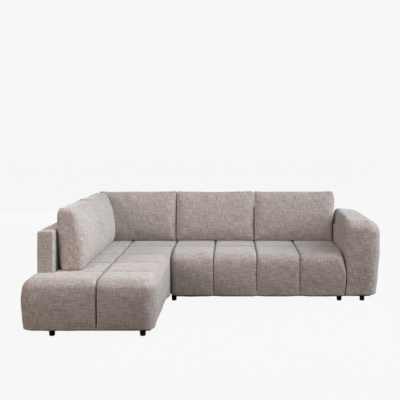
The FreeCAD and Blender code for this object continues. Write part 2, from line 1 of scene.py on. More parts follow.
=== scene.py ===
import bpy
import math
import numpy as np
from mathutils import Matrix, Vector, noise


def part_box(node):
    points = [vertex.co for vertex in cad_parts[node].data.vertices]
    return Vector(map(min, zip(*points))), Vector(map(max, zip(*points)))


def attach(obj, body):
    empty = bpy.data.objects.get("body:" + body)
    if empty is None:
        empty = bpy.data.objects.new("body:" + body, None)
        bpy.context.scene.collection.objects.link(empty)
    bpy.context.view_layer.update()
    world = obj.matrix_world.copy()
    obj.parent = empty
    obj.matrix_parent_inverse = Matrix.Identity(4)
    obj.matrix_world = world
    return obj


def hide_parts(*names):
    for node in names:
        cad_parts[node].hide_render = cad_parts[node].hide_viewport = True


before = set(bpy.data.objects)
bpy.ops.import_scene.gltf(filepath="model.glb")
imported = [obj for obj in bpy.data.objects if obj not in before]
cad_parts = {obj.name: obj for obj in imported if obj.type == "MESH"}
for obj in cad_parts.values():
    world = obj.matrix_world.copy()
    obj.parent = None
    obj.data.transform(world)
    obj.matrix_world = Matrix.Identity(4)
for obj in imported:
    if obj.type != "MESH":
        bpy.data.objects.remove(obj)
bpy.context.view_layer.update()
scene = bpy.context.scene


# Camera: level, in front of the sofa and a little right of its middle. The lens is shifted down and to the
# left, so upright edges stay upright.
camera = bpy.data.objects.new("camera", bpy.data.cameras.new("camera"))
scene.collection.objects.link(camera)
camera.location = (0.104, -5.995, 1.516)
camera.rotation_euler = (math.radians(90), 0, 0)
camera.data.sensor_width = 36.0
camera.data.lens = 59.85
camera.data.shift_x = -0.08
camera.data.shift_y = -0.1625
scene.camera = camera


# Floor: a plain pale studio floor that runs off to a pale wall with no edge, lit evenly, so that the sofa
# stands on almost white.
floor_mesh = bpy.data.meshes.new("studio_floor")
floor_mesh.from_pydata([(-40, -40, 0), (40, -40, 0), (40, 40, 0), (-40, 40, 0)], [], [(0, 1, 2, 3)])
floor = bpy.data.objects.new("studio_floor", floor_mesh)
scene.collection.objects.link(floor)
floor.visible_diffuse = False
floor.visible_glossy = False
floor_paint = bpy.data.materials.new("pale_studio_floor")
floor_paint.use_nodes = True
nodes = floor_paint.node_tree.nodes
nodes.clear()
glow = nodes.new("ShaderNodeEmission")
glow.inputs["Color"].default_value = (0.92, 0.92, 0.92, 1)
matt = nodes.new("ShaderNodeBsdfDiffuse")
matt.inputs["Color"].default_value = (0.012, 0.012, 0.012, 1)
both = nodes.new("ShaderNodeAddShader")
out = nodes.new("ShaderNodeOutputMaterial")
floor_paint.node_tree.links.new(glow.outputs[0], both.inputs[0])
floor_paint.node_tree.links.new(matt.outputs[0], both.inputs[1])
floor_paint.node_tree.links.new(both.outputs[0], out.inputs["Surface"])
floor_mesh.materials.append(floor_paint)


# Light: two cool soft boxes and a low warm one on the right, for what faces right and up, a warm one at the left
# front for the fronts, two small ones near the chaise, one behind for the back, and a dim room.
def soft_light(name, place, aim, width, height, power, colour):
    """A soft box at a place, turned to what it lights. Its power is in watts."""
    lamp = bpy.data.lights.new(name, "AREA")
    lamp.shape = "RECTANGLE"
    lamp.size = width
    lamp.size_y = height
    lamp.energy = power
    lamp.color = colour
    light = bpy.data.objects.new(name, lamp)
    light.location = place
    light.rotation_euler = (Vector(aim) - Vector(place)).to_track_quat("-Z", "Y").to_euler()
    scene.collection.objects.link(light)


soft_light("left_front_softbox", (-4.0, -5.0, 2.6), (-0.2, 0.0, 0.4), 2.5, 2.5, 222, (1.0, 0.86, 0.81))
soft_light("near_softbox", (1.6, -1.6, 2.6), (-1.0, -0.5, 0.5), 1.6, 1.6, 30, (1.0, 0.78, 0.66))
soft_light("high_right_softbox", (6.5, -2.5, 7.5), (-0.5, -0.2, 0.4), 3.0, 3.0, 400, (0.40, 0.72, 1.0))
soft_light("rear_right_softbox", (8.0, 1.5, 5.0), (-0.5, -0.2, 0.4), 3.0, 3.0, 670, (0.81, 0.95, 1.0))
soft_light("low_right_softbox", (9.0, -1.5, 3.0), (-0.5, -0.2, 0.4), 3.0, 3.0, 580, (1.0, 0.92, 0.88))
soft_light("behind_softbox", (-3.0, 7.5, 1.9), (-0.2, 0.9, 0.45), 4.0, 2.0, 260, (1.0, 0.96, 0.93))
soft_light("over_chaise_softbox", (-0.6, -1.4, 2.6), (-1.0, -0.6, 0.4), 1.3, 1.3, 36, (0.95, 0.98, 1.0))

room = bpy.data.worlds.new("studio_room")
room.use_nodes = True
scene.world = room
nodes = room.node_tree.nodes
links = room.node_tree.links
nodes.clear()
seen = nodes.new("ShaderNodeBackground")
seen.inputs["Color"].default_value = (0.925, 0.925, 0.925, 1)
seen.inputs["Strength"].default_value = 1.0
around = nodes.new("ShaderNodeBackground")
around.inputs["Strength"].default_value = 0.02
height = nodes.new("ShaderNodeSeparateXYZ")
direction = nodes.new("ShaderNodeTexCoord")
shade = nodes.new("ShaderNodeValToRGB")
shade.color_ramp.elements[0].position = 0.46
shade.color_ramp.elements[0].color = (0.03, 0.024, 0.022, 1)
shade.color_ramp.elements[1].position = 0.75
shade.color_ramp.elements[1].color = (1.0, 1.0, 1.0, 1)
lift = nodes.new("ShaderNodeMapRange")
lift.inputs["From Min"].default_value = -1
lift.inputs["From Max"].default_value = 1
path = nodes.new("ShaderNodeLightPath")
either = nodes.new("ShaderNodeMixShader")
out = nodes.new("ShaderNodeOutputWorld")
links.new(direction.outputs["Generated"], height.inputs[0])
links.new(height.outputs["Z"], lift.inputs["Value"])
links.new(lift.outputs[0], shade.inputs["Fac"])
links.new(shade.outputs["Color"], around.inputs["Color"])
links.new(path.outputs["Is Camera Ray"], either.inputs["Fac"])
links.new(around.outputs[0], either.inputs[1])
links.new(seen.outputs[0], either.inputs[2])
links.new(either.outputs[0], out.inputs["Surface"])
scene.view_settings.view_transform = "Standard"
scene.view_settings.look = "None"


# Feet: round feet moulded in black plastic with a faintly grained, half-matt skin. Each is screwed up into a
# block of the frame.
def finished(nodes_named, material):
    """Gives CAD nodes a material in place of their own."""
    for name in nodes_named:
        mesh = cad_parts[name].data
        mesh.materials.clear()
        mesh.materials.append(material)


def noise_height(material, scale, stretch=(1, 1, 1), detail=3.0, roughness=0.55):
    """A noise pattern on the piece's own place in metres, stretched along the grain."""
    nodes, links = material.node_tree.nodes, material.node_tree.links
    place = nodes.new("ShaderNodeTexCoord")
    turn = nodes.new("ShaderNodeMapping")
    turn.inputs["Scale"].default_value = stretch
    pattern = nodes.new("ShaderNodeTexNoise")
    pattern.inputs["Scale"].default_value = scale
    pattern.inputs["Detail"].default_value = detail
    pattern.inputs["Roughness"].default_value = roughness
    links.new(place.outputs["Object"], turn.inputs["Vector"])
    links.new(turn.outputs["Vector"], pattern.inputs["Vector"])
    return pattern.outputs["Fac"]


def two_tones(material, factor, low, high, socket="Base Color"):
    """Colours the skin between two tones by a pattern."""
    nodes, links = material.node_tree.nodes, material.node_tree.links
    ramp = nodes.new("ShaderNodeValToRGB")
    ramp.color_ramp.elements[0].position = 0.36
    ramp.color_ramp.elements[0].color = (*low, 1)
    ramp.color_ramp.elements[1].position = 0.66
    ramp.color_ramp.elements[1].color = (*high, 1)
    links.new(factor, ramp.inputs["Fac"])
    links.new(ramp.outputs["Color"], nodes["Principled BSDF"].inputs[socket])


def relief(material, factor, strength, distance):
    """Raises the skin by a pattern, over a distance in metres."""
    nodes, links = material.node_tree.nodes, material.node_tree.links
    bump = nodes.new("ShaderNodeBump")
    bump.inputs["Strength"].default_value = strength
    bump.inputs["Distance"].default_value = distance
    links.new(factor, bump.inputs["Height"])
    links.new(bump.outputs["Normal"], nodes["Principled BSDF"].inputs["Normal"])


def plain_skin(name, roughness, metallic=0.0):
    """A new material with one skin, ready for its colour and relief."""
    material = bpy.data.materials.new(name)
    material.use_nodes = True
    skin = material.node_tree.nodes["Principled BSDF"]
    skin.inputs["Roughness"].default_value = roughness
    skin.inputs["Metallic"].default_value = metallic
    return material


foot_plastic = plain_skin("black_moulded_plastic", 0.42)
two_tones(foot_plastic, noise_height(foot_plastic, 60), (0.006, 0.006, 0.007), (0.014, 0.014, 0.015))
relief(foot_plastic, noise_height(foot_plastic, 900), 0.25, 0.0004)
feet = [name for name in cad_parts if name.startswith(("foot_chaise", "foot_main", "foot_arm"))]
finished(feet, foot_plastic)


# Timber: planed softwood rails, uprights and stretchers, with the uprights and boards of the panels and the arm
# standing on end, and the blocks that the feet screw into. The grain runs along each board.
def softwood(name, stretch):
    """Softwood whose grain is drawn out along the axis with the small number."""
    wood = plain_skin(name, 0.62)
    two_tones(wood, noise_height(wood, 34, stretch, 6, 0.6), (0.46, 0.30, 0.155), (0.68, 0.50, 0.30))
    relief(wood, noise_height(wood, 260, stretch, 4), 0.35, 0.0006)
    return wood


wood_across = softwood("softwood_grain_across", (0.06, 1, 1))
wood_along = softwood("softwood_grain_along", (1, 0.06, 1))
wood_upright = softwood("softwood_grain_upright", (1, 1, 0.06))
finished(["chaise_front_rail", "chaise_rear_rail", "chaise_cross_rails", "chaise_back_top_rail", "main_front_rail",
          "main_rear_rail", "main_spring_rail", "main_back_top_rail"], wood_across)
finished(["chaise_left_rail", "chaise_right_rail", "main_left_rail", "main_right_rail", "main_stretchers",
          "side_panel_top_rail", "arm_top_board", "arm_bottom_board", "foot_blocks"], wood_along)
finished(["side_panel_uprights", "chaise_back_uprights", "main_back_uprights", "arm_uprights"], wood_upright)


# Springs and their clips: sinuous springs of dark hardened wire, stretched from rail to rail under the foam.
# White moulded plastic clips on the rails hold their ends.
spring_wire = plain_skin("spring_wire", 0.38, 1.0)
two_tones(spring_wire, noise_height(spring_wire, 220), (0.20, 0.20, 0.21), (0.42, 0.42, 0.43))
finished(["chaise_springs", "main_springs"], spring_wire)
clip_plastic = plain_skin("white_clip_plastic", 0.45)
two_tones(clip_plastic, noise_height(clip_plastic, 120), (0.60, 0.60, 0.57), (0.74, 0.74, 0.71))
relief(clip_plastic, noise_height(clip_plastic, 1400), 0.15, 0.0003)
finished(["spring_clips"], clip_plastic)


# Steel fittings: zinc-plated bolts that hold the frame, hook plates with their pins and screws that keep the two
# seat units together, and the bolts in the feet.
zinc = plain_skin("zinc_plated_steel", 0.33, 1.0)
two_tones(zinc, noise_height(zinc, 90, detail=5), (0.52, 0.54, 0.56), (0.76, 0.77, 0.78))
relief(zinc, noise_height(zinc, 1600), 0.12, 0.0002)
finished(["frame_bolts", "foot_bolts", "hook_plates", "hook_pins", "hook_screws"], zinc)


# Dust covers: thin black non-woven cloth with a pressed dimple pattern, cut flat, one under each seat unit, and
# stapled up to the rails all round.
dust_cloth = plain_skin("black_nonwoven_cloth", 0.95)
dimples = dust_cloth.node_tree.nodes.new("ShaderNodeTexVoronoi")
dimples.inputs["Scale"].default_value = 420
dust_place = dust_cloth.node_tree.nodes.new("ShaderNodeTexCoord")
dust_cloth.node_tree.links.new(dust_place.outputs["Object"], dimples.inputs["Vector"])
two_tones(dust_cloth, noise_height(dust_cloth, 700, detail=6), (0.010, 0.010, 0.011), (0.038, 0.037, 0.036))
relief(dust_cloth, dimples.outputs["Distance"], 0.5, 0.0006)
finished(["chaise_dust_cover", "main_dust_cover"], dust_cloth)


# Upholstery cloth: a heavy flat weave of slub yarns in warm greys, so single threads run lighter or darker
# for a few centimetres, both along and across.
def heathered_cloth(name, light, dark):
    material = bpy.data.materials.new(name)
    material.use_nodes = True
    nodes = material.node_tree.nodes
    links = material.node_tree.links
    skin = nodes["Principled BSDF"]
    skin.inputs["Roughness"].default_value = 0.92
    skin.inputs["Specular IOR Level"].default_value = 0.18
    skin.inputs["Sheen Weight"].default_value = 0.25
    skin.inputs["Sheen Roughness"].default_value = 0.5
    flat = nodes.new("ShaderNodeUVMap")
    flat.uv_map = "cloth"

    def streaks(along, across, seed):
        """Noise drawn out into yarns. along and across say how often it changes in a metre."""
        turn = nodes.new("ShaderNodeMapping")
        turn.inputs["Scale"].default_value = (along, across, 1)
        turn.inputs["Location"].default_value = (seed * 3.7, seed * 9.1, 0)
        yarn = nodes.new("ShaderNodeTexNoise")
        yarn.inputs["Scale"].default_value = 1.0
        yarn.inputs["Detail"].default_value = 1.5
        yarn.inputs["Roughness"].default_value = 0.55
        links.new(flat.outputs["UV"], turn.inputs["Vector"])
        links.new(turn.outputs["Vector"], yarn.inputs["Vector"])
        return yarn.outputs["Fac"]

    def plus(first, weight, second):
        """The first pattern times its weight, plus the second."""
        add = nodes.new("ShaderNodeMath")
        add.operation = "MULTIPLY_ADD"
        add.inputs[1].default_value = weight
        links.new(first, add.inputs[0])
        links.new(second, add.inputs[2])
        return add.outputs[0]

    yarns = plus(streaks(12, 125, 1), 1.0, streaks(150, 15, 3))
    yarns = plus(streaks(40, 360, 2), 0.65, yarns)
    yarns = plus(streaks(360, 40, 4), 0.65, yarns)
    yarns = plus(streaks(48, 52, 5), 0.2, yarns)
    tone = nodes.new("ShaderNodeMapRange")
    tone.inputs["From Min"].default_value = 1.44
    tone.inputs["From Max"].default_value = 2.00
    links.new(yarns, tone.inputs["Value"])
    heather = nodes.new("ShaderNodeMix")
    heather.data_type = "RGBA"
    heather.inputs["A"].default_value = (*dark, 1)
    heather.inputs["B"].default_value = (*light, 1)
    links.new(tone.outputs["Result"], heather.inputs["Factor"])
    links.new(heather.outputs["Result"], skin.inputs["Base Color"])
    threads = plus(streaks(90, 700, 7), 1.0, plus(streaks(700, 90, 8), 1.0, yarns))
    relief(material, threads, 0.4, 0.0010)
    return material


cloth_material = heathered_cloth("taupe_slub_weave", (0.412, 0.361, 0.331), (0.206, 0.171, 0.153))


# Chaise seat: two columns of foam blocks under one quilted cover. The cover is sewn down along the channels,
# turned over the front and right edges and stapled under the rails. The front pair is full width.
def graded(a, b, step, fine):
    """Grid lines from a to b, close beside both ends and wider between them."""
    near, reach, gap = [], 0.0, fine
    while gap < step and reach + gap < (b - a) / 2:
        reach += gap
        near.append(reach)
        gap *= 1.35
    reach = near[-1] if near else 0.0
    middle = np.linspace(a + reach, b - reach, max(2, round((b - a - 2 * reach) / step) + 1))
    before = a + np.array(near[:-1])
    after = b - np.array(near[:-1])[::-1]
    ends = [[a], before, middle, after, [b]] if near else [middle]
    return np.concatenate(ends)


def grid_lines(stops, step=0.012, fine=0.002):
    """Grid lines through every stop, such as an edge or a sewn channel."""
    runs = [graded(a, b, step, fine) for a, b in zip(stops[:-1], stops[1:])]
    return np.concatenate([runs[0]] + [run[1:] for run in runs[1:]])


def box_shell(xs, ys, zs, notch=None):
    """Closed shell of a box on the given grid lines, less an upright notch at its rear left: points, four-sided
    faces, and the cloth's own flat coordinates at each face corner, in metres, as if the cloth hung down from
    the top on every side."""
    filled = np.zeros((len(xs) + 1, len(ys) + 1, len(zs) + 1), bool)
    filled[1:-1, 1:-1, 1:-1] = True
    if notch:
        filled[1:-1, 1:-1][np.ix_((xs[1:] + xs[:-1]) / 2 < notch[0], (ys[1:] + ys[:-1]) / 2 > notch[1])] = False
    number = np.arange(len(xs) * len(ys) * len(zs)).reshape(len(xs), len(ys), len(zs))
    grid = np.stack(np.meshgrid(xs, ys, zs, indexing="ij"), -1).reshape(-1, 3)
    x0, x1, y0, y1, z1 = xs[0], xs[-1], ys[0], ys[-1], zs[-1]
    hang = {
        (2, True): lambda p: (p[..., 0], p[..., 1]),
        (2, False): lambda p: (p[..., 0], p[..., 1] - 2 * z1),
        (1, False): lambda p: (p[..., 0], y0 - z1 + p[..., 2]),
        (1, True): lambda p: (p[..., 0], y1 + z1 - p[..., 2]),
        (0, True): lambda p: (x1 + z1 - p[..., 2], p[..., 1]),
        (0, False): lambda p: (x0 - z1 + p[..., 2], p[..., 1]),
    }
    faces, cloth = [], []
    for (axis, forward), flat in hang.items():
        u, v = [other for other in range(3) if other != axis]
        before = np.take(filled, range(filled.shape[axis] - 1), axis)
        after = np.take(filled, range(1, filled.shape[axis]), axis)
        edge = before & ~after if forward else after & ~before
        inner = [slice(None)] * 3
        inner[u] = inner[v] = slice(1, -1)
        corner = np.array(np.nonzero(edge[tuple(inner)])).T

        def at(du, dv):
            place = corner.copy()
            place[:, u] += du
            place[:, v] += dv
            return number[tuple(place.T)]

        order = [at(0, 0), at(1, 0), at(1, 1), at(0, 1)]
        if forward == (axis == 1):
            order.reverse()
        quads = np.stack(order, 1)
        faces.append(quads)
        cloth.append(np.stack(flat(grid[quads]), -1))
    faces = np.concatenate(faces)
    used, renumbered = np.unique(faces, return_inverse=True)
    return grid[used], renumbered.reshape(-1, 4), np.concatenate(cloth)


def rounded(points, low, high):
    """Rounds a box shell's edges. low and high are the radii at the left, front and bottom, and at the right,
    rear and top."""
    low = np.broadcast_to(np.stack(np.broadcast_arrays(*low), -1), points.shape)
    high = np.broadcast_to(np.stack(np.broadcast_arrays(*high), -1), points.shape)
    core = np.clip(points, points.min(0) + low, points.max(0) - high)
    over = points - core
    reach = np.where(over < 0, low, high)
    share = over / reach
    return core + share / np.maximum(np.linalg.norm(share, axis=1, keepdims=True), 1.0) * reach


def outward(points, faces):
    """Which way the surface faces at each point."""
    facing = np.cross(points[faces[:, 2]] - points[faces[:, 0]], points[faces[:, 3]] - points[faces[:, 1]])
    total = np.zeros_like(points)
    for corner in range(4):
        np.add.at(total, faces[:, corner], facing)
    return total / np.maximum(np.linalg.norm(total, axis=1, keepdims=True), 1e-12)


def uneven(points, size, seed):
    """Smooth random unevenness of a given size at each point, from -1 to 1."""
    shift = np.array([seed * 7.31, seed * -3.17, seed * 5.43])
    return np.array([noise.noise(Vector(place)) for place in points / size + shift]) * 1.6


def nearest(values, stops):
    """Distance from each value to the nearest stop."""
    return np.min(np.abs(values[:, None] - np.array(stops)[None, :]), 1)


def drawn_in(distance, width):
    """How far a sewn channel draws the cloth in: 1 on the line, 0 from its width on."""
    share = np.clip(distance / width, 0, 1)
    return 1 - (1 - (1 - share) ** 2.8) ** (1 / 2.8)


def crowned(values, stops):
    """The crown of each block between stops: 1 in its middle, 0 at its edges."""
    stops = np.array(stops)
    block = np.clip(np.searchsorted(stops, values) - 1, 0, len(stops) - 2)
    share = (values - stops[block]) / (stops[block + 1] - stops[block])
    return np.clip(4 * share * (1 - share), 0, 1)


def smooth_step(values, start, end):
    """Eases from 0 at the start to 1 at the end."""
    share = np.clip((values - start) / (end - start), 0, 1)
    return share * share * (3 - 2 * share)


def cloth_mesh(name, points, faces, cloth):
    """A mesh of cloth, with the cloth's flat coordinates as its UV map."""
    mesh = bpy.data.meshes.new(name)
    mesh.from_pydata(points.tolist(), [], faces.tolist())
    mesh.uv_layers.new(name="cloth").data.foreach_set("uv", cloth.reshape(-1).astype(np.float32))
    return mesh


def soft_piece(name, points, faces, cloth):
    """An object of upholstery in the sofa's cloth."""
    mesh = cloth_mesh(name, points, faces, cloth)
    mesh.shade_smooth()
    mesh.materials.append(cloth_material)
    piece = bpy.data.objects.new(name, mesh)
    scene.collection.objects.link(piece)
    return piece


chaise_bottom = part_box("chaise_seat_cover")[0].z
panel_low, panel_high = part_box("side_panel_cover")
chaise_dust_low, chaise_dust_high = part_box("chaise_dust_cover")
main_dust_low, main_dust_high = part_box("main_dust_cover")
chaise_left, chaise_right = -1.4603, -0.4553
chaise_front = -1.065
seat_rear = 0.935
seat_top = 0.440
pressed_top = 0.4397
row_channel = 0.450
cross_channels = [-0.740, -0.370, 0.010, row_channel]
column_channel = -0.9053
channel_depth = 0.028
channel_width = 0.046
seat_crown = 0.010
seam_sink = 0.009
seam_width = 0.0045
pucker = 0.0022
pucker_size = 0.021
pucker_reach = 0.022
hem_radius = 0.012
tuck_under = 0.022
tuck_start = seat_top - 0.075
cloth_gap = 0.0012
rounding = 1e-6


def quilted(points, across, along, across_fade, along_fade, seed):
    """Draws the cloth in at the sewn channels, crowns the blocks between them and puckers the cloth beside
    them. across and along are the channels at fixed x and at fixed y."""
    dx = nearest(points[:, 0], across) if across else np.full(len(points), 1.0)
    dy = nearest(points[:, 1], along) if along else np.full(len(points), 1.0)
    groove_x = drawn_in(dx, channel_width) * across_fade
    groove_y = drawn_in(dy, channel_width) * along_fade
    groove = 1 - (1 - groove_x) * (1 - groove_y)
    ripple = uneven(points, pucker_size, seed) * np.exp(-dx / pucker_reach) * across_fade
    ripple += uneven(points, pucker_size, seed + 1) * np.exp(-dy / pucker_reach) * along_fade
    seam = np.maximum(np.exp(-(dx / seam_width) ** 2) * across_fade, np.exp(-(dy / seam_width) ** 2) * along_fade)
    return -channel_depth * groove - seam_sink * seam + pucker * ripple * (1 - 0.8 * groove)


def lumpy(box, seed):
    """The unevenness of the foam under the cloth, large and small."""
    return 0.0025 * uneven(box, 0.16, seed) + 0.0012 * uneven(box, 0.06, seed + 1)


def toward_hem(points, start, hem):
    """How far each point lies below a height: 0 there, slowly growing to 1 at the hem."""
    return np.clip((start - points[:, 2]) / (start - hem), 0, 1) ** 2


def hem_raised(points, original):
    """Lifts the closed underside over the dust covers, so that the cloth shows only as a hem around them."""
    points[:, 2] = np.maximum(points[:, 2], original[:, 2].min())
    under = original[:, 2] <= original[:, 2].min() + rounding
    for low, high in ((chaise_dust_low, chaise_dust_high), (main_dust_low, main_dust_high)):
        inside = under & (points[:, 0] > low.x - cloth_gap) & (points[:, 0] < high.x + cloth_gap)
        inside &= (points[:, 1] > low.y - cloth_gap) & (points[:, 1] < high.y + cloth_gap)
        points[inside, 2] = np.maximum(points[inside, 2], high.z + cloth_gap)
    return points


def pressed_flat(points):
    """Presses the seat flat under the loose cushions, which rest on it."""
    under = np.maximum(smooth_step(points[:, 1], 0.715, 0.750),
                       smooth_step(-points[:, 0], 1.010, 1.050) * smooth_step(points[:, 1], -0.755, -0.715))
    over = np.clip(points[:, 2] - pressed_top, 0, None)
    points[:, 2] -= over * under
    return points


hem_x = sorted({chaise_dust_low.x, chaise_dust_high.x, main_dust_low.x, main_dust_high.x})
hem_y = sorted({chaise_dust_low.y, chaise_dust_high.y, main_dust_low.y, main_dust_high.y})


def with_hem(stops, hems):
    """Adds the dust covers' edges to a list of stops, as a pair of lines either side."""
    lines = list(stops)
    for edge in hems:
        if stops[0] + 0.004 < edge < stops[-1] - 0.004 and min(abs(edge - stop) for stop in stops) > 0.006:
            lines += [edge - 0.0014, edge + 0.0014]
    return sorted(lines)


notch = (panel_high.x, panel_low.y - 0.001)
chaise_x = [chaise_left, notch[0], column_channel, chaise_right]
chaise_y = [chaise_front, notch[1], *cross_channels, seat_rear]
xs = grid_lines(with_hem(chaise_x, hem_x))
ys = grid_lines(with_hem(chaise_y, hem_y))
zs = grid_lines([chaise_bottom, seat_top], step=0.014, fine=0.004)
box, faces, cloth = box_shell(xs, ys, zs, notch)
x, y, z = box.T
beside_main = smooth_step(y, -0.03, 0.05)
to_front = smooth_step(-y, 0.88, 0.97)
to_right = smooth_step(x, -0.62, -0.53) * (1 - beside_main)
to_left = smooth_step(-x, 1.29, 1.37)
right = 0.030 + 0.045 * (1 - beside_main) + 0.030 * smooth_step(-y, 0.86, 1.0)
front = 0.075 + 0.025 * smooth_step(x, -0.66, -0.50)
top = 0.030 + 0.038 * np.maximum(np.maximum(to_front, to_right), to_left)
points = rounded(box, (0.070, front, hem_radius), (right, 0.030, top))
normals = outward(points, faces)
on_top = smooth_step(points[:, 2], seat_top - 0.12, seat_top - 0.03)
foot = smooth_step(-z, -0.13, -0.06)
over_right_edge = smooth_step(x, -0.60, -0.48) * (1 - beside_main)
across_fade = 1 - 0.85 * foot
along_fade = on_top * (1 - 0.92 * over_right_edge) * np.where(x < column_channel, 0.80, 1.0)
along_fade *= np.where(x < notch[0], 0.0, 1.0)
shift = quilted(box, [column_channel], cross_channels, across_fade, along_fade, 1)
block_crown = crowned(x, [chaise_left, column_channel, chaise_right])
shift += seat_crown * block_crown * crowned(y, [chaise_front, *cross_channels, seat_rear]) * on_top
shift += 0.006 * block_crown * (1 - on_top) * to_front * crowned(z, [chaise_bottom, seat_top])
shift += lumpy(box, 5)
in_notch = (x < notch[0] + rounding) & (y > notch[1] - rounding)
touching = in_notch | (y >= ys[-1] - rounding) | ((x >= xs[-1] - rounding) & (beside_main > 0.2))
shift = np.where(touching, np.minimum(shift, 0) - 0.001, shift)
points = points + normals * shift[:, None]
notch_radius = 0.022
beside_notch = np.where(x < notch[0], notch[1] - y, np.where(y > notch[1], x - notch[0],
                                                             np.hypot(x - notch[0], y - notch[1])))
near_notch = np.clip(notch_radius - beside_notch, 0, notch_radius)
points[:, 2] -= (notch_radius - np.sqrt(notch_radius ** 2 - near_notch ** 2)) * smooth_step(z, 0.30, 0.43)
low_share = toward_hem(points, tuck_start, chaise_bottom)
middle_bulge = np.sin(np.pi * np.clip((points[:, 2] - chaise_bottom) / (seat_top - chaise_bottom), 0, 1))
points[:, 1] += tuck_under * low_share * smooth_step(-points[:, 1], 0.83, 1.05)
points[:, 0] -= (0.028 * low_share - 0.004 * middle_bulge) * smooth_step(points[:, 0], -0.62, -0.46) * (
    1 - smooth_step(points[:, 1], -0.12, 0.04))
points[:, 0] += (-0.006 * low_share - 0.020 * middle_bulge) * smooth_step(-points[:, 0], 1.31, 1.43)
chaise_flat = box
chaise_seat = soft_piece("chaise_seat", hem_raised(pressed_flat(points), box), faces, cloth)
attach(chaise_seat, "sofa")
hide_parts("chaise_seat_cover", "chaise_seat_foam")


# Main seat: four foam blocks side by side in two rows under one quilted cover, sewn and stapled as on the
# chaise. It is hooked to the chaise on its left and carries the arm on its right.
main_stops = [-0.4547, -0.0627, 0.3293, 0.7213, 1.1273]
main_front = 0.010
main_bottom = 0.050
main_rows = [main_front, row_channel, seat_rear]
xs = grid_lines(with_hem(main_stops, hem_x))
ys = grid_lines(with_hem(main_rows, hem_y))
zs = grid_lines([main_bottom, seat_top], step=0.014, fine=0.004)
box, faces, cloth = box_shell(xs, ys, zs)
near_front = smooth_step(-box[:, 1], -0.20, -0.09)
top = 0.030 + 0.045 * near_front
higher = smooth_step(box[:, 2], 0.24, 0.38)
left = 0.030 + 0.022 * near_front
right = 0.020 + 0.045 * near_front * higher
front = 0.075 - 0.055 * smooth_step(box[:, 0], 1.02, 1.10) * (1 - higher)
points = rounded(box, (left, front, hem_radius), (right, 0.030, top))
normals = outward(points, faces)
on_top = smooth_step(points[:, 2], seat_top - 0.12, seat_top - 0.03)
foot = smooth_step(-points[:, 2], -0.16, -0.06)
across_fade = (1 - 0.8 * foot) * (0.68 + 0.32 * on_top)
shift = quilted(box, main_stops[1:-1], [row_channel], across_fade, on_top, 21)
shift += seat_crown * crowned(box[:, 0], main_stops) * (
    crowned(box[:, 1], main_rows) * on_top + 0.8 * (1 - on_top) * near_front)
shift += lumpy(box, 26)
touching = (box[:, 0] <= xs[0] + rounding) | (box[:, 0] >= xs[-1] - rounding) | (box[:, 1] >= ys[-1] - rounding)
shift = np.where(touching, np.minimum(shift, 0) - 0.001, shift)
points = points + normals * shift[:, None]
low_share = toward_hem(points, tuck_start, main_bottom)
points[:, 1] += tuck_under * low_share * smooth_step(-points[:, 1], -0.18, -0.02)


def arm_bulge(points):
    """How far the last seat block pushes towards the arm, at each point's height."""
    return 0.013 * np.sin(np.pi * np.clip((points[:, 2] - main_bottom) / 0.39, 0, 1))


points[:, 0] += arm_bulge(points) * smooth_step(points[:, 0], 1.00, 1.12)
main_flat = box
main_seat = soft_piece("main_seat", hem_raised(pressed_flat(points), box), faces, cloth)
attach(main_seat, "sofa")
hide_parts("main_seat_cover", "main_seat_foam")


